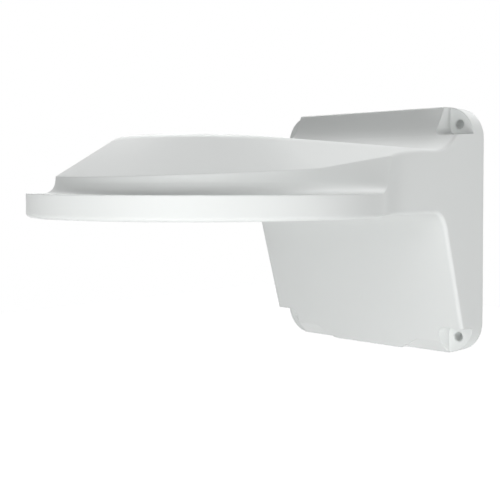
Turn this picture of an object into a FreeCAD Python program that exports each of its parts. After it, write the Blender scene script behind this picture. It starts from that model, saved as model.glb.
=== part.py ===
import FreeCAD, Part
import math
import os

import Sketcher

# Wall bracket for a dome camera: one hollow casting with a square wall box, a short arm and
# a round seat under a sloping hood.
# Axes: the wall plane is Y = 0, the bracket reaches out along -Y, +X is across, +Z is up.
# The origin is the middle of the wall box's back.  Lengths are millimetres, angles degrees.

Vector, Rotation, Placement = FreeCAD.Vector, FreeCAD.Rotation, FreeCAD.Placement

UP, DOWN, OUTWARD = Vector(0, 0, 1), Vector(0, 0, -1), Vector(0, -1, 0)
ACROSS = Vector(1, 0, 0)

# When edges are picked: CLOSE counts as touching, and a span under SHORT as none.
CLOSE, SHORT = 0.02, 1.0

# Sketch planes.  Front: x across, y up.  Side: x away from the wall, y up.
# Plan: x across, y away from the wall.
FRONT = Rotation(Vector(1, 0, 0), 90)
SIDE = Rotation(OUTWARD, UP, Vector(-1, 0, 0), "XYZ")
PLAN = Rotation(Vector(1, 0, 0), 180)

SIZES = {
    # wall box
    "plate_width": 120.0,
    "plate_height": 120.0,
    "plate_corner_radius": 15.0,
    "wall_thickness": 3.0,
    # upper front of the wall box: a hollow curve from the top edge down to the hood
    "top_edge_depth": 14.2,
    "cove_radius": 30.0,
    "cove_floor_height": 38.0,
    "side_edge_round": 1.8,
    # lower front of the wall box
    "slope_top_depth": 31.8,
    "slope_foot_depth": 14.2,
    "armpit_radius": 10.0,
    "facet_height": 6.3,
    "facet_foot_depth": 9.1,
    "tongue_top_half_width": 33.0,
    "tongue_foot_half_width": 21.0,
    # corner pockets with the wall screw holes
    "pocket_floor_depth": 9.0,
    "pocket_inset": 13.2,
    "pocket_corner_radius": 3.0,
    "pocket_draft": 4.0,
    "wall_screw_side_inset": 8.0,
    "wall_screw_end_inset": 8.5,
    "wall_screw_hole": 4.4,
    "wall_screw_chamfer": 0.5,
    # disc that carries the camera, and the arm behind it
    "disc_reach": 124.0,
    "disc_overhang": 15.5,
    "neck_radius": 42.0,
    "underside_height": 9.3,
    "ledge_height": 18.8,
    "lower_edge_round": 1.8,
    # hood over the disc
    "hood_setback": 5.0,
    "hood_rear_height": 38.4,
    "hood_middle_height": 41.3,
    "ridge_height": 25.3,
    "ridge_inset": 11.8,
    "bevel_angle": 33.0,
    "shoulder_radius": 11.0,
    "skirt_draft": 7.0,
    "skirt_neck_flare": 0.5,
    "skirt_foot_round": 5.0,
    # camera seat in the underside of the disc
    "rim_thickness": 3.0,
    "seat_recess": 5.5,
    "cable_hole": 40.0,
    "camera_screw_spacing": 70.0,
    "camera_screw_hole": 4.2,
    "camera_boss": 9.0,
    "camera_boss_height": 6.0,
}

doc = FreeCAD.newDocument("CameraWallBracket")

sizes = doc.addObject("Spreadsheet::Sheet", "Sizes")
for row, (alias, number) in enumerate(SIZES.items(), start=1):
    sizes.set(f"A{row}", alias.replace("_", " "))
    sizes.set(f"B{row}", str(number))
    sizes.setAlias(f"B{row}", alias)

# Values that follow from the driving dimensions: alias to formula, in order.
layout = doc.addObject("Spreadsheet::Sheet", "Layout")
LAYOUT = {}


def derive(alias, formula):
    """Note a named cell that is worked out from the other cells."""
    LAYOUT[alias] = formula


# Main sizes.
derive("half_width", "Sizes.plate_width / 2")
derive("half_height", "Sizes.plate_height / 2")
derive("disc_radius", "half_width + Sizes.disc_overhang")
derive("total_reach", "Sizes.disc_reach + disc_radius")
derive("bevel_rate", "tan(Sizes.bevel_angle * 1 deg)")
derive("skirt_rate", "tan(Sizes.skirt_draft * 1 deg)")
derive("slope_rate", "(Sizes.slope_top_depth - Sizes.slope_foot_depth) / half_height")
derive("slope_run", "sqrt(1 + slope_rate ^ 2)")
derive("cove_centre_height", "Sizes.cove_floor_height + Sizes.cove_radius")
derive("cove_end", "Sizes.top_edge_depth + sqrt(Sizes.cove_radius ^ 2"
       " - (half_height - cove_centre_height) ^ 2)")
derive("roof_rate", "(Sizes.hood_middle_height - Sizes.hood_rear_height)"
       " / (Sizes.disc_reach - cove_end)")
derive("well_clear", "2 * Sizes.wall_thickness")

# Where the neck's hollow curves leave the arm's sides and meet the disc.
derive("neck_centre", "half_width + Sizes.neck_radius")
derive("neck_start", "Sizes.disc_reach"
       " - sqrt((disc_radius + Sizes.neck_radius) ^ 2 - neck_centre ^ 2)")

# The hood's bevel, seen from above, is a circle set back from the disc's centre, with sides
# that flare towards the wall.  At the height of the roof's rear it passes through the ends of
# the hollow curve.
derive("hood_reach", "Sizes.disc_reach - Sizes.hood_setback")
derive("flare_radius", "disc_radius - Sizes.ridge_inset + Sizes.hood_setback"
       " - (Sizes.hood_rear_height - Sizes.ridge_height) / bevel_rate")
derive("flare_reach", "hood_reach - cove_end")
derive("flare_span", "sqrt(half_width ^ 2 + flare_reach ^ 2)")
derive("flare_line", "sqrt(flare_span ^ 2 - flare_radius ^ 2)")
derive("flare_sin", "(half_width * flare_line - flare_reach * flare_radius)"
       " / flare_span ^ 2")
derive("flare_cos", "(flare_reach * flare_line + half_width * flare_radius)"
       " / flare_span ^ 2")
derive("crown_rise", "roof_rate * (total_reach - cove_end)")
derive("crown_inset", "crown_rise / bevel_rate")
derive("crown_radius", "flare_radius - crown_inset")
derive("crown_meet_across", "crown_radius * flare_cos")
derive("crown_meet_reach", "hood_reach + crown_radius * flare_sin")
derive("crown_back", "-Sizes.plate_width")
derive("crown_back_across", "half_width - crown_inset / flare_cos"
       " + (cove_end - crown_back) * flare_sin / flare_cos")

# The skirt under the hood's ridge is a circle with sides that close in to the neck.
derive("skirt_radius", "disc_radius - Sizes.ridge_inset"
       " + (Sizes.ridge_height - Sizes.ledge_height) * skirt_rate")
derive("neck_ridge_height", "Sizes.hood_rear_height"
       " - bevel_rate * flare_sin * (neck_start - cove_end)")
derive("skirt_neck_across", "half_width + Sizes.skirt_neck_flare"
       " + (neck_ridge_height - Sizes.ledge_height) * skirt_rate")

# Blocks and heights.
derive("very_wide", "4 * Sizes.plate_width")
derive("body_height", "half_height - Sizes.underside_height")
derive("deck_thickness", "Sizes.ledge_height - Sizes.underside_height")
derive("deck_width", "2 * disc_radius")
derive("skirt_height", "crown_rise + Sizes.hood_rear_height - Sizes.ledge_height")
derive("roof_end", "total_reach + Sizes.plate_width")

# Camera seat.
derive("seat_height", "Sizes.underside_height + Sizes.seat_recess")
derive("seat_radius", "disc_radius - Sizes.rim_thickness")
derive("seat_top", "seat_height + Sizes.wall_thickness")
derive("recess_base", "Sizes.underside_height - Sizes.wall_thickness")
derive("recess_depth", "Sizes.seat_recess + Sizes.wall_thickness")
derive("cable_radius", "Sizes.cable_hole / 2")
derive("camera_screw_across", "Sizes.camera_screw_spacing / 2")
derive("camera_screw_near", "Sizes.disc_reach - camera_screw_across")
derive("camera_screw_far", "Sizes.disc_reach + camera_screw_across")
derive("camera_screw_radius", "Sizes.camera_screw_hole / 2")
derive("boss_radius", "Sizes.camera_boss / 2")
derive("boss_height", "Sizes.wall_thickness + Sizes.camera_boss_height")
derive("bore_height", "recess_depth + boss_height + Sizes.wall_thickness")

# Corner pockets, the columns of metal round them, and the wall screws.
derive("wall_screw_across", "half_width - Sizes.wall_screw_side_inset")
derive("wall_screw_up", "half_height - Sizes.wall_screw_end_inset")
derive("wall_screw_radius", "Sizes.wall_screw_hole / 2")
derive("wall_screw_mouth", "wall_screw_radius + Sizes.wall_screw_chamfer")
derive("wall_screw_length", "Sizes.pocket_floor_depth + 2 * Sizes.wall_thickness")
derive("chamfer_start", "Sizes.pocket_floor_depth - Sizes.wall_screw_chamfer")
derive("pocket_across", "half_width - Sizes.pocket_inset")
derive("pocket_up", "half_height - Sizes.pocket_inset")
derive("pocket_round_across", "pocket_across + Sizes.pocket_corner_radius")
derive("pocket_round_up", "pocket_up + Sizes.pocket_corner_radius")
derive("pocket_far_across", "half_width + Sizes.pocket_inset")
derive("pocket_far_up", "half_height + Sizes.pocket_inset")
derive("column_across", "pocket_across - Sizes.wall_thickness")
derive("column_up", "pocket_up - Sizes.wall_thickness")
derive("column_round", "Sizes.pocket_corner_radius + Sizes.wall_thickness")
derive("column_round_across", "column_across + column_round")
derive("column_round_up", "column_up + column_round")

# Facets at the foot, on both sides of the tongue.
derive("facet_top", "-half_height + Sizes.facet_height")
derive("facet_top_depth", "Sizes.slope_foot_depth + slope_rate * Sizes.facet_height")
derive("facet_rate", "(facet_top_depth - Sizes.facet_foot_depth) / Sizes.facet_height")
derive("facet_low", "-half_height - Sizes.wall_thickness")
derive("facet_low_depth", "Sizes.facet_foot_depth - facet_rate * Sizes.wall_thickness")
derive("facet_out", "facet_top_depth + Sizes.wall_thickness")
derive("facet_run", "sqrt(1 + facet_rate ^ 2)")
derive("lining_low_depth", "facet_low_depth - Sizes.wall_thickness * facet_run")
derive("lining_top_depth", "facet_top_depth - Sizes.wall_thickness * facet_run"
       " + facet_rate * Sizes.wall_thickness")
derive("tongue_rate", "(Sizes.tongue_top_half_width - Sizes.tongue_foot_half_width)"
       " / Sizes.facet_height")
derive("tongue_low", "Sizes.tongue_foot_half_width - tongue_rate * Sizes.wall_thickness")
derive("tongue_high", "Sizes.tongue_top_half_width + tongue_rate * Sizes.wall_thickness")
derive("tongue_over", "facet_top + Sizes.wall_thickness")


def derive_side(prefix, inset):
    """Cells of the wall box's side view, moved inwards by inset."""
    def own(name):
        return f"{prefix}_{name}"
    derive(own("half"), f"half_height - {inset}")
    derive(own("width"), f"Sizes.plate_width - 2 * {inset}")
    derive(own("cove"), f"Sizes.cove_radius + {inset}")
    derive(own("top_depth"), f"cove_end - sqrt({own('cove')} ^ 2"
           f" - (cove_centre_height - {own('half')}) ^ 2)")
    derive(own("roof"), f"Sizes.cove_floor_height - {inset}")
    derive(own("floor"), f"Sizes.underside_height + {inset}")
    derive(own("armpit"), f"Sizes.armpit_radius + {inset}")
    derive(own("slope_top"), f"Sizes.slope_top_depth - {inset} * slope_run")
    derive(own("bend"), f"{own('armpit')} * (slope_run - slope_rate)")
    derive(own("knee"), f"{own('slope_top')} + slope_rate * {own('floor')}")
    derive(own("bend_start"), f"{own('knee')} + {own('bend')}")
    derive(own("bend_end"), f"{own('knee')} - {own('bend')} * slope_rate / slope_run")
    derive(own("bend_height"), f"{own('floor')} - {own('bend')} / slope_run")
    derive(own("foot"), f"{own('slope_top')} - slope_rate * {own('half')}")
    derive(own("front"), f"max(cove_end; {own('bend_start')}) + Sizes.wall_thickness")


def derive_plan(prefix, inset):
    """Cells of the arm's and disc's outline, moved inwards by inset."""
    def own(name):
        return f"{prefix}_{name}"
    derive(own("across"), f"half_width - {inset}")
    derive(own("disc"), f"disc_radius - {inset}")
    derive(own("neck"), f"Sizes.neck_radius + {inset}")
    derive(own("sum"), "disc_radius + Sizes.neck_radius")
    derive(own("meet_across"), f"{own('disc')} * neck_centre / {own('sum')}")
    derive(own("meet_reach"), f"Sizes.disc_reach - {own('disc')}"
           f" * (Sizes.disc_reach - neck_start) / {own('sum')}")


def derive_skirt(prefix, inset):
    """Cells of the skirt's foot, moved inwards by inset."""
    def own(name):
        return f"{prefix}_{name}"
    derive(own("reach"), "Sizes.disc_reach - neck_start")
    derive(own("radius"), f"skirt_radius - {inset}")
    derive(own("neck"), f"skirt_neck_across - {inset}")
    derive(own("span"), f"{own('reach')} ^ 2 + {own('neck')} ^ 2")
    derive(own("line"), f"sqrt({own('span')} - {own('radius')} ^ 2)")
    derive(own("sin"), f"({own('neck')} * {own('line')}"
           f" - {own('reach')} * {own('radius')}) / {own('span')}")
    derive(own("cos"), f"({own('reach')} * {own('line')}"
           f" + {own('neck')} * {own('radius')}) / {own('span')}")
    derive(own("meet_across"), f"{own('radius')} * {own('cos')}")
    derive(own("meet_reach"), f"Sizes.disc_reach + {own('radius')} * {own('sin')}")
    derive(own("back_across"), f"{own('neck')}"
           f" + (neck_start - well_clear) * {own('sin')} / {own('cos')}")


def derive_hood(prefix, inset):
    """Cells of the hood's bevel and roof, moved inwards by inset."""
    def own(name):
        return f"{prefix}_{name}"
    derive(own("crown"), "Sizes.hood_rear_height + crown_rise"
           f" - {inset} * sqrt(1 + bevel_rate ^ 2)")
    derive(own("drop"), f"{own('crown')} - Sizes.underside_height")
    derive(own("roof_rear"), f"Sizes.hood_rear_height - {inset}"
           " + roof_rate * (crown_back - cove_end)")
    derive(own("roof_front"), f"Sizes.hood_rear_height - {inset}"
           " + roof_rate * (roof_end - cove_end)")


# Outer faces, and the cavity's faces one wall thickness inside them.
WALLS = {"outer": "0", "inner": "Sizes.wall_thickness"}
for prefix, inset in WALLS.items():
    derive_side(prefix, inset)
    derive_plan(prefix, inset)
    derive_skirt(f"{prefix}_skirt", inset)
    derive_hood(f"{prefix}_hood", inset)

for row, (alias, formula) in enumerate(LAYOUT.items(), start=1):
    layout.set(f"A{row}", alias.replace("_", " "))
    layout.set(f"B{row}", "=" + formula)
    layout.setAlias(f"B{row}", alias)
doc.recompute()


def value_of(name):
    """Return the present value of a cell named like Sizes.x, -Layout.x or 0."""
    if name == "0":
        return 0.0
    sheet, alias = name.lstrip("-").split(".")
    number = float(getattr(doc.getObject(sheet), alias))
    return -number if name.startswith("-") else number


def mirrored(name):
    """Return the same cell with the opposite sign."""
    return name if name == "0" else "-" + name


def pin(sketch, geometry, point, name, kind):
    """Tie one coordinate of a sketch point to a cell."""
    if name == "0":
        axis = -2 if kind == "DistanceX" else -1
        sketch.addConstraint(Sketcher.Constraint("PointOnObject", geometry, point, axis))
        return
    index = sketch.addConstraint(
        Sketcher.Constraint(kind, -1, 1, geometry, point, value_of(name)))
    sketch.setExpression(f"Constraints[{index}]", name)


def arc_through(start, end, radius, side, long_way):
    """Arc from start to end; side +1 puts its centre on the left of that direction."""
    chord = end - start
    middle = (start + end) * 0.5
    left = Vector(-chord.y, chord.x, 0).normalize()
    rise = math.sqrt(max(radius ** 2 - (chord.Length / 2) ** 2, 0.0))
    centre = middle + left * (side * (-rise if long_way else rise))
    crown = centre - left * (side * radius)
    return Part.Arc(start, crown, end)


def outline(label, view, corners, arcs=None, height=None, reach=None):
    """Closed sketch through corners given as cell names.

    arcs maps a corner's number to (radius cell, side, long way round) for a bend to the next.
    height or reach is the cell that places the sketch along Z or out from the wall.
    """
    sketch = doc.addObject("Sketcher::SketchObject", label)
    sketch.Placement = Placement(Vector(0, 0, 0), view)
    if height:
        sketch.setExpression("Placement.Base.z", height)
    if reach:
        sketch.setExpression("Placement.Base.y", mirrored(reach))
    points = [Vector(value_of(x), value_of(y), 0) for x, y in corners]
    count = len(points)
    for number, start in enumerate(points):
        end = points[(number + 1) % count]
        bend = (arcs or {}).get(number)
        if bend:
            shape = arc_through(start, end, value_of(bend[0]), bend[1], bend[2])
        else:
            shape = Part.LineSegment(start, end)
        sketch.addGeometry(shape, False)
    # An arc keeps its own direction, so its start may be the sketch's end point.
    for number in range(count):
        after = (number + 1) % count
        meet = points[after]
        ends = []
        for index in (number, after):
            near = min((1, 2), key=lambda p: (sketch.getPoint(index, p) - meet).Length)
            ends.append((index, near))
        sketch.addConstraint(Sketcher.Constraint("Coincident", *ends[0], *ends[1]))
        pin(sketch, *ends[0], corners[after][0], "DistanceX")
        pin(sketch, *ends[0], corners[after][1], "DistanceY")
    for number, bend in (arcs or {}).items():
        index = sketch.addConstraint(
            Sketcher.Constraint("Radius", number, value_of(bend[0])))
        sketch.setExpression(f"Constraints[{index}]", bend[0])
    doc.recompute()
    return sketch


def extrude(label, sketch, direction, length, back=None, taper=None, both=False):
    """Solid from a sketch.  A positive taper widens it along the direction."""
    solid = doc.addObject("Part::Extrusion", label)
    solid.Base = sketch
    solid.DirMode = "Custom"
    solid.Dir = direction
    solid.Solid = True
    solid.Symmetric = both
    solid.setExpression("LengthFwd", length)
    if back:
        solid.setExpression("LengthRev", back)
    if taper:
        solid.setExpression("TaperAngle", taper)
    doc.recompute()
    return solid


def block(label, width, depth, height, base, start=None):
    """Box centred across, from reach start outwards by depth, with its floor at base."""
    box = doc.addObject("Part::Box", label)
    box.setExpression("Length", width)
    box.setExpression("Width", depth)
    box.setExpression("Height", height)
    box.setExpression("Placement.Base.x", f"-({width}) / 2")
    box.setExpression("Placement.Base.y", f"-({depth})" + (f" - ({start})" if start else ""))
    box.setExpression("Placement.Base.z", base)
    doc.recompute()
    return box


def pillar(label, radius, height, base, across="0", reach="Sizes.disc_reach"):
    """Upright cylinder."""
    rod = doc.addObject("Part::Cylinder", label)
    rod.setExpression("Radius", radius)
    rod.setExpression("Height", height)
    rod.setExpression("Placement.Base.x", across)
    rod.setExpression("Placement.Base.y", f"-({reach})")
    rod.setExpression("Placement.Base.z", base)
    doc.recompute()
    return rod


def join(label, *pieces):
    """One solid from several that touch."""
    fuse = doc.addObject("Part::MultiFuse", label)
    fuse.Shapes = list(pieces)
    fuse.Refine = True
    doc.recompute()
    return fuse


def shared(label, *pieces):
    """What several solids have in common."""
    common = doc.addObject("Part::MultiCommon", label)
    common.Shapes = list(pieces)
    common.Refine = True
    doc.recompute()
    return common


def cut(label, base, tool):
    """Base less tool."""
    result = doc.addObject("Part::Cut", label)
    result.Base = base
    result.Tool = tool
    result.Refine = True
    doc.recompute()
    return result


def mirror(label, source, normal):
    """Mirror image about a plane through the origin."""
    image = doc.addObject("Part::Mirroring", label)
    image.Source = source
    image.Normal = normal
    doc.recompute()
    return image


def round_edges(label, base, radius, wanted):
    """Round the edges of base for which wanted(edge) is true."""
    size = value_of(radius)
    fillet = doc.addObject("Part::Fillet", label)
    fillet.Base = base
    fillet.Edges = [(number, size, size)
                    for number, edge in enumerate(base.Shape.Edges, start=1) if wanted(edge)]
    doc.recompute()
    return fillet


def plan_outline(label, prefix, height):
    """Outline of the arm and the disc seen from above."""
    own = f"Layout.{prefix}_{{}}".format
    corners = [
        (own("across"), "0"),
        (own("across"), "Layout.neck_start"),
        (own("meet_across"), own("meet_reach")),
        (mirrored(own("meet_across")), own("meet_reach")),
        (mirrored(own("across")), "Layout.neck_start"),
        (mirrored(own("across")), "0"),
    ]
    arcs = {1: (own("neck"), -1, False), 2: (own("disc"), 1, True),
            3: (own("neck"), -1, False)}
    return outline(label, PLAN, corners, arcs, height=height)


def side_profile(label, prefix, back):
    """Side view of the wall box: hollow upper front, roof, armpit and sloping lower front."""
    own = f"Layout.{prefix}_{{}}".format
    corners = [
        (back, mirrored(own("half"))),
        (back, own("half")),
        (own("top_depth"), own("half")),
        ("Layout.cove_end", own("roof")),
        (own("front"), own("roof")),
        (own("front"), own("floor")),
        (own("bend_start"), own("floor")),
        (own("bend_end"), own("bend_height")),
        (own("foot"), mirrored(own("half"))),
    ]
    arcs = {2: (own("cove"), 1, False), 6: (own("armpit"), 1, False)}
    return outline(label, SIDE, corners, arcs)


def skirt_outline(label, prefix):
    """Foot of the skirt on the ledge, from inside the wall box outwards."""
    own = f"Layout.{prefix}_skirt_{{}}".format
    corners = [
        (own("back_across"), "Layout.well_clear"),
        (own("meet_across"), own("meet_reach")),
        (mirrored(own("meet_across")), own("meet_reach")),
        (mirrored(own("back_across")), "Layout.well_clear"),
    ]
    arcs = {1: (own("radius"), 1, True)}
    return outline(label, PLAN, corners, arcs, height="Sizes.ledge_height")


def hood_solid(label, prefix):
    """Hood: a bevel all round under a sloping roof, with a soft shoulder between them."""
    own = f"Layout.{prefix}_hood_{{}}".format
    crown = outline(f"{label}Crown", PLAN, [
        ("Layout.crown_back_across", "Layout.crown_back"),
        ("Layout.crown_meet_across", "Layout.crown_meet_reach"),
        ("-Layout.crown_meet_across", "Layout.crown_meet_reach"),
        ("-Layout.crown_back_across", "Layout.crown_back"),
    ], {1: ("Layout.crown_radius", 1, False)}, height=own("crown"))
    bevel = extrude(f"{label}Bevel", crown, DOWN, own("drop"), taper="90 - Sizes.bevel_angle")
    roof_line = outline(f"{label}RoofLine", SIDE, [
        ("Layout.crown_back", "0"),
        ("Layout.crown_back", own("roof_rear")),
        ("Layout.roof_end", own("roof_front")),
        ("Layout.roof_end", "0"),
    ])
    under_roof = extrude(f"{label}UnderRoof", roof_line, ACROSS, "Layout.very_wide", both=True)
    top = shared(f"{label}Top", bevel, under_roof)
    rear, front = value_of(own("roof_rear")), value_of(own("roof_front"))
    start, end = value_of("Layout.crown_back"), value_of("Layout.roof_end")

    def is_shoulder(edge):
        on_roof = all(
            abs(point.z - rear - (front - rear) * (-point.y - start) / (end - start)) < CLOSE
            for point in edge.discretize(9))
        return on_roof and edge.BoundBox.YLength > SHORT

    return round_edges(label, top, "Sizes.shoulder_radius", is_shoulder)


half_width = value_of("Layout.half_width")
disc_radius = value_of("Layout.disc_radius")
ledge = value_of("Sizes.ledge_height")
underside = value_of("Sizes.underside_height")


def is_cove_side(edge):
    """True for the hollow curve's edges along the wall box's two sides."""
    box = edge.BoundBox
    on_side = abs(abs(box.XMin) - half_width) < CLOSE and box.XLength < CLOSE
    return on_side and edge.Curve.TypeId == "Part::GeomCircle" and box.ZMin > ledge


def is_skirt_foot(edge):
    """True for the skirt's edges on the ledge, apart from the end inside the arm."""
    box = edge.BoundBox
    level = abs(box.ZMin - ledge) < CLOSE and box.ZLength < CLOSE
    inside = max(box.XMax, -box.XMin) < disc_radius - CLOSE
    return level and inside and box.YLength > CLOSE


def is_box_corner(edge):
    """True for the wall box's corner edges, which run out from the wall."""
    return edge.BoundBox.YLength > SHORT


def is_arm_ridge(edge):
    """True for the hood's edges along the arm's two sides, as far as the neck."""
    box = edge.BoundBox
    on_side = min(abs(box.XMin), abs(box.XMax)) > half_width - CLOSE and box.XLength < SHORT
    lowest = value_of("Layout.neck_ridge_height") - value_of("Sizes.side_edge_round")
    return on_side and box.ZMin > lowest and box.YLength > SHORT


# Wall box: the side profile across the full width, with rounded corners seen from the front.
box_side = extrude("BoxSide", side_profile("BoxProfile", "outer", "0"),
                   ACROSS, "Sizes.plate_width", both=True)
box_front = block("BoxFront", "Sizes.plate_width", "Layout.outer_front",
                  "Sizes.plate_height", "-Layout.half_height")
box_round = round_edges("BoxCorners", box_front, "Sizes.plate_corner_radius", is_box_corner)
wall_box = shared("WallBoxSharp", box_side, box_round)
wall_box = round_edges("WallBox", wall_box, "Sizes.side_edge_round", is_cove_side)

# Disc and skirt: the skirt stands on the ledge with a hollow round at its foot.
deck = block("Deck", "Layout.deck_width", "Layout.total_reach", "Layout.deck_thickness",
             "Sizes.underside_height")
skirt = extrude("Skirt", skirt_outline("SkirtFoot", "outer"), UP, "Layout.skirt_height",
                taper="-Sizes.skirt_draft")
skirt = round_edges("SkirtRound", join("SkirtOnDeck", deck, skirt),
                    "Sizes.skirt_foot_round", is_skirt_foot)

# Arm: everything inside its plan outline and under the hood.
filler = block("ArmFiller", "Sizes.plate_width", "Layout.neck_start", "Layout.body_height",
               "Sizes.underside_height")
arm_plan = extrude("ArmPlan", plan_outline("ArmOutline", "outer", "Sizes.underside_height"),
                   UP, "Layout.body_height")
low_block = block("LowBlock", "Layout.deck_width", "Layout.total_reach",
                  "Layout.deck_thickness", "Sizes.underside_height")
envelope = join("Envelope", hood_solid("Hood", "outer"), low_block)
arm = shared("ArmSharp", join("ArmMass", skirt, filler), arm_plan, envelope)
arm = round_edges("Arm", arm, "Sizes.side_edge_round", is_arm_ridge)
outer = join("OuterForm", wall_box, arm)


def is_lower_edge(edge):
    """True for the edges where the upright sides meet the underside and the slope."""
    centre = edge.Curve.value((edge.FirstParameter + edge.LastParameter) / 2)
    reach = -centre.y
    slope = value_of("Sizes.slope_top_depth") + value_of("Layout.slope_rate") * centre.z
    bend = value_of("Layout.outer_bend_height")
    across = edge.BoundBox.XLength > half_width and edge.BoundBox.YLength < CLOSE
    low = edge.BoundBox.ZMax < underside + CLOSE
    if across or not low:
        return False
    if centre.z > bend:
        return reach > value_of("Layout.outer_bend_end") - CLOSE
    return abs(reach - slope) < CLOSE and edge.BoundBox.ZLength > CLOSE


rounded = round_edges("RoundedForm", outer, "Sizes.lower_edge_round", is_lower_edge)

# Foot of the slope: a facet on each side of a tapering tongue.
facet_wedge = extrude("FacetWedge", outline("FacetSide", SIDE, [
    ("Layout.facet_low_depth", "Layout.facet_low"),
    ("Layout.facet_top_depth", "Layout.facet_top"),
    ("Layout.facet_out", "Layout.facet_top"),
    ("Layout.facet_out", "Layout.facet_low"),
]), ACROSS, "Layout.very_wide", both=True)
tongue = extrude("Tongue", outline("TongueFront", FRONT, [
    ("Layout.tongue_low", "Layout.facet_low"),
    ("Layout.tongue_high", "Layout.tongue_over"),
    ("-Layout.tongue_high", "Layout.tongue_over"),
    ("-Layout.tongue_low", "Layout.facet_low"),
]), OUTWARD, "Layout.outer_front")
faceted = cut("FacetedForm", rounded, cut("Facets", facet_wedge, tongue))


def corner_outline(label, prefix, radius, reach=None):
    """Upper corner's square outline, open past the wall box, with its inner corner rounded."""
    own = f"Layout.{prefix}_{{}}".format
    corners = [
        ("Layout.pocket_far_across", "Layout.pocket_far_up"),
        (own("across"), "Layout.pocket_far_up"),
        (own("across"), own("round_up")),
        (own("round_across"), own("up")),
        ("Layout.pocket_far_across", own("up")),
    ]
    return outline(label, FRONT, corners, {2: (radius, 1, False)}, reach=reach)


def four_corners(label, tool):
    """The tool in the wall box's upper corner, repeated in all four corners."""
    upper = join(f"{label}Upper", tool, mirror(f"{label}Across", tool, ACROSS))
    return join(label, upper, mirror(f"{label}Lower", upper, UP))


# Corner pockets, each with a chamfered wall screw hole in its floor.
pocket = extrude("Pocket", corner_outline("PocketOutline", "pocket",
                                          "Sizes.pocket_corner_radius",
                                          reach="Sizes.pocket_floor_depth"),
                 OUTWARD, "Layout.outer_front", taper="Sizes.pocket_draft")
wall_screw = doc.addObject("Part::Cylinder", "WallScrewHole")
wall_screw.setExpression("Radius", "Layout.wall_screw_radius")
wall_screw.setExpression("Height", "Layout.wall_screw_length")
chamfer = doc.addObject("Part::Cone", "WallScrewChamfer")
chamfer.setExpression("Radius1", "Layout.wall_screw_radius")
chamfer.setExpression("Radius2", "Layout.wall_screw_mouth")
chamfer.setExpression("Height", "Sizes.wall_screw_chamfer")
for rod, start in ((wall_screw, "Sizes.wall_thickness"), (chamfer, "-Layout.chamfer_start")):
    rod.Placement = Placement(Vector(0, 0, 0), FRONT)
    rod.setExpression("Placement.Base.x", "Layout.wall_screw_across")
    rod.setExpression("Placement.Base.y", start)
    rod.setExpression("Placement.Base.z", "Layout.wall_screw_up")
doc.recompute()
pockets = four_corners("Pockets", join("PocketTool", pocket, wall_screw, chamfer))
pocketed = cut("PocketedForm", faceted, pockets)

# Cavity: the wall box's hollow opens into the hood's, over the camera seat.
box_cavity = extrude("BoxCavity", side_profile("CavityProfile", "inner", "-Sizes.wall_thickness"),
                     ACROSS, "Layout.inner_width", both=True)
hood_cavity = shared(
    "HoodCavity",
    hood_solid("InnerHood", "inner"),
    extrude("InnerSkirt", skirt_outline("InnerSkirtFoot", "inner"), UP, "Layout.skirt_height",
            back="Layout.deck_thickness", taper="-Sizes.skirt_draft"),
    extrude("InnerPlan", plan_outline("InnerOutline", "inner", "Layout.seat_top"),
            UP, "Layout.body_height"))

# Metal kept inside the cavity: round the pockets, behind the facets, and the screw bosses.
columns = four_corners("Columns", extrude(
    "Column", corner_outline("ColumnOutline", "column", "Layout.column_round"),
    OUTWARD, "Layout.outer_front", taper="Sizes.pocket_draft"))
facet_lining = extrude("FacetLining", outline("LiningSide", SIDE, [
    ("Layout.lining_low_depth", "Layout.facet_low"),
    ("Layout.lining_top_depth", "Layout.tongue_over"),
    ("Layout.facet_out", "Layout.tongue_over"),
    ("Layout.facet_out", "Layout.facet_low"),
]), ACROSS, "Layout.very_wide", both=True)

bosses, bores = [], []
for across in ("Layout.camera_screw_across", "-Layout.camera_screw_across"):
    for reach in ("Layout.camera_screw_near", "Layout.camera_screw_far"):
        number = len(bosses) + 1
        bosses.append(pillar(f"CameraBoss{number}", "Layout.boss_radius", "Layout.boss_height",
                             "Layout.seat_height", across, reach))
        bores.append(pillar(f"CameraScrewHole{number}", "Layout.camera_screw_radius",
                            "Layout.bore_height", "Layout.recess_base", across, reach))
kept = join("KeptMetal", columns, facet_lining, *bosses)
cavity = cut("Cavity", join("CavityWhole", box_cavity, hood_cavity), kept)

# Camera seat: a shallow round recess under the disc, with the cable hole and screw holes.
recess = pillar("SeatRecess", "Layout.seat_radius", "Layout.recess_depth", "Layout.recess_base")
cable_way = pillar("CableHole", "Layout.cable_radius", "Layout.bore_height",
                   "Layout.recess_base")
openings = join("Openings", recess, cable_way, *bores)

hollowed = cut("HollowedForm", pocketed, cavity)
bracket_body = cut("bracket_body", hollowed, openings)

for thing in doc.Objects:
    if {"Invalid", "Error"} & set(thing.State):
        raise RuntimeError(f"{thing.Label} was not worked out: {thing.State}")
shape = bracket_body.Shape
if shape.isNull() or not shape.isValid() or len(shape.Solids) != 1:
    raise RuntimeError("bracket_body is not one valid solid")

os.makedirs("parts", exist_ok=True)
shape.exportStep("parts/bracket_body.step")
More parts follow.
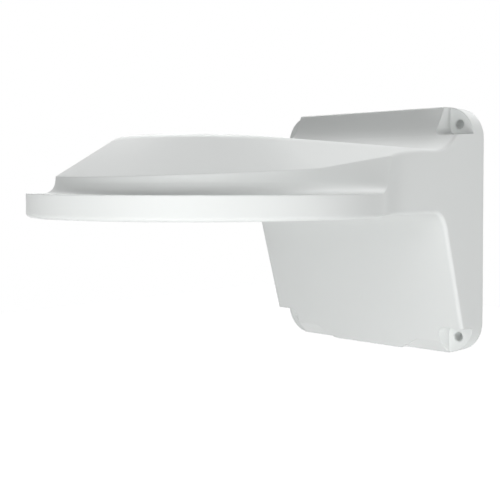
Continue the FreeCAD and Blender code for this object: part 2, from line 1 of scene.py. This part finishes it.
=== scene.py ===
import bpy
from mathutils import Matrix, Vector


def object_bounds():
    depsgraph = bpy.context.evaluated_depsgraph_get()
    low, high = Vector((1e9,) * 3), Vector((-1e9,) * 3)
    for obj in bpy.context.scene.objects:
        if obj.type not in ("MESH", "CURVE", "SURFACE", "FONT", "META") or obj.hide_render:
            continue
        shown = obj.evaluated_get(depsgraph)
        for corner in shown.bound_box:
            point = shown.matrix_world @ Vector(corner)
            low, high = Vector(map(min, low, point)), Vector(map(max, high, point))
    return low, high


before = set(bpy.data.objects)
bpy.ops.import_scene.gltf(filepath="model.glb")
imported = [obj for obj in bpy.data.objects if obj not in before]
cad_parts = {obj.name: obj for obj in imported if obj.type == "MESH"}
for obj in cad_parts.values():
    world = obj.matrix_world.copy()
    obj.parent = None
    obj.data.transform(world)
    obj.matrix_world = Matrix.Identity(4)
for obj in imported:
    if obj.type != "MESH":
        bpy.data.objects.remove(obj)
CAD_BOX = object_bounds()

"""A wall bracket for a dome camera: one white coated casting, in metres, in the frame's axes.

The wall plane is Y = 0, the bracket reaches out along -Y, +X is across and +Z is up.
"""

import logging
import math
from dataclasses import dataclass, field
from enum import Enum

import bmesh
import bpy
from mathutils import Matrix, Vector

LOG = logging.getLogger("bracket")
WHITE = (1.0, 1.0, 1.0, 1.0)


class WhiteRay(Enum):
    """Rays that see the stage as plain white, by the name of their Light Path output."""

    CAMERA = "Is Camera Ray"
    GLOSSY = "Is Glossy Ray"
    TRANSMISSION = "Is Transmission Ray"


def face_towards(thing: bpy.types.Object, direction: Vector) -> None:
    """Turn a camera or lamp so that it looks along a direction, with +Z up.

    Args:
        thing: the object to turn.
        direction: where it should look, of any length.
    """
    thing.rotation_mode = "QUATERNION"
    thing.rotation_quaternion = direction.to_track_quat("-Z", "Y")


def linear(value: float) -> float:
    """Turn a display value into linear light.

    Args:
        value: display value from 0 to 1.

    Returns:
        The linear value, from 0 to 1.
    """
    return value / 12.92 if value <= 0.04045 else ((value + 0.055) / 1.055) ** 2.4


def link_object(name: str, data: bpy.types.ID) -> bpy.types.Object:
    """Put a mesh, camera or light in the scene as an object at the origin.

    Args:
        name: name of the new object.
        data: what the object holds.

    Returns:
        The new object.
    """
    made = bpy.data.objects.new(name, data)
    bpy.context.scene.collection.objects.link(made)
    return made


class GrainGroup:
    """Shader group for a coat: fine orange peel and a slow drift of tone."""

    NAME = "coat_grain"
    INPUTS = {"Peel Scale": 900.0, "Peel Mix": 0.6, "Drift Scale": 14.0}
    OUTPUTS = ("Height", "Tone")
    PEEL_DETAIL = 2.0
    DRIFT_DETAIL = 3.0

    @classmethod
    def get(cls) -> bpy.types.NodeTree:
        """Return the group, made the first time it is asked for."""
        found = bpy.data.node_groups.get(cls.NAME)
        return found or cls._build()

    @classmethod
    def _build(cls) -> bpy.types.NodeTree:
        """Build the group: inputs for scale and strength, outputs for height and tone."""
        tree = bpy.data.node_groups.new(cls.NAME, "ShaderNodeTree")
        face = tree.interface
        for name, default in cls.INPUTS.items():
            socket = face.new_socket(name, in_out="INPUT", socket_type="NodeSocketFloat")
            socket.default_value = default
        for name in cls.OUTPUTS:
            face.new_socket(name, in_out="OUTPUT", socket_type="NodeSocketFloat")
        nodes, links = tree.nodes, tree.links
        given, out = nodes.new("NodeGroupInput"), nodes.new("NodeGroupOutput")
        place = nodes.new("ShaderNodeTexCoord")

        peel = nodes.new("ShaderNodeTexNoise")
        peel.inputs["Detail"].default_value = cls.PEEL_DETAIL
        pits = nodes.new("ShaderNodeTexVoronoi")
        pits.feature = "SMOOTH_F1"
        drift = nodes.new("ShaderNodeTexNoise")
        drift.inputs["Detail"].default_value = cls.DRIFT_DETAIL
        for texture in (peel, pits, drift):
            links.new(place.outputs["Object"], texture.inputs["Vector"])
        links.new(given.outputs["Peel Scale"], peel.inputs["Scale"])
        links.new(given.outputs["Peel Scale"], pits.inputs["Scale"])
        links.new(given.outputs["Drift Scale"], drift.inputs["Scale"])

        blend = nodes.new("ShaderNodeMix")
        links.new(given.outputs["Peel Mix"], blend.inputs["Factor"])
        links.new(pits.outputs["Distance"], blend.inputs["A"])
        links.new(peel.outputs["Fac"], blend.inputs["B"])
        links.new(blend.outputs["Result"], out.inputs["Height"])
        links.new(drift.outputs["Fac"], out.inputs["Tone"])
        return tree


@dataclass(frozen=True)
class PowderCoat:
    """White satin powder coat with a very fine orange peel.

    Colours are display values, and lengths are metres. Tone and roughness drift a little over
    the surface, and edges look softened by the thickness of the coat.
    """

    name: str = "white_coat"
    pale: tuple[float, float, float] = (0.884, 0.893, 0.889)
    deep: tuple[float, float, float] = (0.876, 0.886, 0.881)
    rough_low: float = 0.50
    rough_high: float = 0.58
    peel_scale: float = 900.0
    peel_height: float = 0.00002
    peel_strength: float = 0.25
    specular: float = 0.25
    edge_radius: float = 0.0008
    edge_samples: int = 8

    def build(self) -> bpy.types.Material:
        """Return the coat as a material."""
        coat = bpy.data.materials.new(self.name)
        coat.use_nodes = True
        nodes, links = coat.node_tree.nodes, coat.node_tree.links
        shader = nodes["Principled BSDF"]
        shader.inputs["Specular IOR Level"].default_value = self.specular

        grain = nodes.new("ShaderNodeGroup")
        grain.node_tree = GrainGroup.get()
        grain.inputs["Peel Scale"].default_value = self.peel_scale

        tone = nodes.new("ShaderNodeMix")
        tone.data_type = "RGBA"
        tone.inputs["A"].default_value = (*map(linear, self.pale), 1.0)
        tone.inputs["B"].default_value = (*map(linear, self.deep), 1.0)
        links.new(grain.outputs["Tone"], tone.inputs["Factor"])
        links.new(tone.outputs["Result"], shader.inputs["Base Color"])

        rough = nodes.new("ShaderNodeMapRange")
        rough.inputs["To Min"].default_value = self.rough_low
        rough.inputs["To Max"].default_value = self.rough_high
        links.new(grain.outputs["Tone"], rough.inputs["Value"])
        links.new(rough.outputs["Result"], shader.inputs["Roughness"])

        soft = nodes.new("ShaderNodeBevel")
        soft.samples = self.edge_samples
        soft.inputs["Radius"].default_value = self.edge_radius
        peel = nodes.new("ShaderNodeBump")
        peel.inputs["Strength"].default_value = self.peel_strength
        peel.inputs["Distance"].default_value = self.peel_height
        links.new(grain.outputs["Height"], peel.inputs["Height"])
        links.new(soft.outputs["Normal"], peel.inputs["Normal"])
        links.new(peel.outputs["Normal"], shader.inputs["Normal"])
        return coat


@dataclass
class Bracket:
    """The casting, whose shape comes from the frame."""

    node: str = "bracket_body"
    finish: PowderCoat = field(default_factory=PowderCoat)

    def dress(self) -> bpy.types.Object:
        """Give the casting its coat.

        Returns:
            The casting's object.
        """
        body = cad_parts[self.node]
        body.data.materials.clear()
        body.data.materials.append(self.finish.build())
        return body


@dataclass
class PhotoCamera:
    """The camera that sees the bracket as the photograph shows it.

    The place is in metres and the angles are in degrees. The picture's side, the focal length and
    the centre are pixels of the square picture, and the sensor's width is in millimetres.
    """

    place: tuple[float, float, float] = (0.29215, -0.38834, 0.02265)
    azimuth: float = 42.21
    pitch_down: float = 2.0
    picture: float = 500.0
    focal_pixels: float = 913.97
    centre_x: float = 300.0
    centre_y: float = 216.03
    sensor: float = 36.0

    def build(self) -> bpy.types.Object:
        """Make the camera the scene's own, and return it."""
        data = bpy.data.cameras.new("photo_camera")
        data.sensor_width = self.sensor
        data.lens = self.focal_pixels / self.picture * self.sensor
        data.shift_x = (self.picture / 2 - self.centre_x) / self.picture
        data.shift_y = (self.centre_y - self.picture / 2) / self.picture
        camera = link_object("photo_camera", data)
        turn, dip = math.radians(self.azimuth), math.radians(self.pitch_down)
        ahead = Vector((-math.sin(turn) * math.cos(dip), math.cos(turn) * math.cos(dip),
                        -math.sin(dip)))
        camera.location = Vector(self.place)
        face_towards(camera, ahead)
        bpy.context.scene.camera = camera
        return camera


@dataclass
class Lamp:
    """A soft square lamp that looks at the bracket: metres, and watts."""

    name: str
    place: tuple[float, float, float]
    size: float
    power: float
    aim: tuple[float, float, float] = (0.0, -0.09, 0.0)

    def build(self) -> bpy.types.Object:
        """Hang the lamp and return it."""
        data = bpy.data.lights.new(self.name, "AREA")
        data.shape = "SQUARE"
        data.size = self.size
        data.energy = self.power
        lamp = link_object(self.name, data)
        lamp.location = Vector(self.place)
        face_towards(lamp, Vector(self.aim) - Vector(self.place))
        return lamp


@dataclass
class Studio:
    """Pale floor well below the bracket, white surroundings and soft lamps, in metres.

    The camera sees the floor and the surroundings as white, whatever light they get.
    """

    floor_drop: float = 0.90
    floor_half: float = 6.0
    floor_tone: float = 0.90
    floor_rough: float = 0.8
    floor_lift: float = 0.96
    world_level: float = 0.03
    lamps: list[Lamp] = field(default_factory=lambda: [
        Lamp("front_low_lamp", (0.34, -0.85, -0.47), 0.45, 4.4),
        Lamp("front_high_lamp", (0.32, -0.78, 0.27), 0.4, 2.1),
        Lamp("front_lamp", (0.27, -0.85, -0.07), 0.4, 1.0),
        Lamp("right_lamp", (1.46, 0.21, -0.10), 0.6, 7.6),
        Lamp("rear_top_lamp", (0.15, 0.95, 1.05), 0.7, 13.0),
        Lamp("rear_left_lamp", (-0.95, 0.45, 1.00), 0.7, 12.5),
    ])

    def white_to_camera(self, nodes: bpy.types.Nodes,
                        links: bpy.types.NodeLinks) -> bpy.types.NodeSocket:
        """Tell the rays that should see plain white from those that carry light.

        Args:
            nodes: nodes of the material or world.
            links: its links.

        Returns:
            A socket that is 1 for the first kind and 0 for the second.
        """
        path = nodes.new("ShaderNodeLightPath")
        first, *others = WhiteRay
        white = path.outputs[first.value]
        for ray in others:
            either = nodes.new("ShaderNodeMath")
            either.operation = "MAXIMUM"
            links.new(white, either.inputs[0])
            links.new(path.outputs[ray.value], either.inputs[1])
            white = either.outputs["Value"]
        return white

    def build_world(self) -> None:
        """Light the scene evenly, and show white to the camera."""
        world = bpy.data.worlds.new("studio_world")
        world.use_nodes = True
        nodes, links = world.node_tree.nodes, world.node_tree.links
        backdrop = nodes["Background"]
        backdrop.inputs["Color"].default_value = WHITE
        level = nodes.new("ShaderNodeMapRange")
        level.inputs["To Min"].default_value = self.world_level
        level.inputs["To Max"].default_value = 1.0
        links.new(self.white_to_camera(nodes, links), level.inputs["Value"])
        links.new(level.outputs["Result"], backdrop.inputs["Strength"])
        bpy.context.scene.world = world

    def build_floor(self) -> bpy.types.Object:
        """Lay the floor and return it."""
        shape = bmesh.new()
        low = CAD_BOX[0].z - self.floor_drop
        bmesh.ops.create_grid(shape, x_segments=1, y_segments=1, size=self.floor_half,
                              matrix=Matrix.Translation((0.0, 0.0, low)))
        mesh = bpy.data.meshes.new("floor")
        shape.to_mesh(mesh)
        shape.free()
        floor = link_object("floor", mesh)
        paint = bpy.data.materials.new("floor_paint")
        paint.use_nodes = True
        nodes, links = paint.node_tree.nodes, paint.node_tree.links
        shader = nodes["Principled BSDF"]
        shader.inputs["Base Color"].default_value = (*[self.floor_tone] * 3, 1.0)
        shader.inputs["Roughness"].default_value = self.floor_rough
        shader.inputs["Emission Color"].default_value = WHITE
        lift = nodes.new("ShaderNodeMath")
        lift.operation = "MULTIPLY"
        lift.inputs[1].default_value = self.floor_lift
        links.new(self.white_to_camera(nodes, links), lift.inputs[0])
        links.new(lift.outputs["Value"], shader.inputs["Emission Strength"])
        mesh.materials.append(paint)
        return floor

    def build(self) -> None:
        """Set up the floor, the world and the lamps."""
        bpy.context.scene.view_settings.view_transform = "Standard"
        self.build_world()
        self.build_floor()
        for lamp in self.lamps:
            lamp.build()


def main() -> None:
    """Build the whole scene in order."""
    logging.basicConfig(level=logging.INFO)
    PhotoCamera().build()
    LOG.info("camera set")
    Studio().build()
    LOG.info("studio set")
    body = Bracket().dress()
    LOG.info("dressed %s, %d faces", body.name, len(body.data.polygons))


if __name__ == "__main__":
    main()
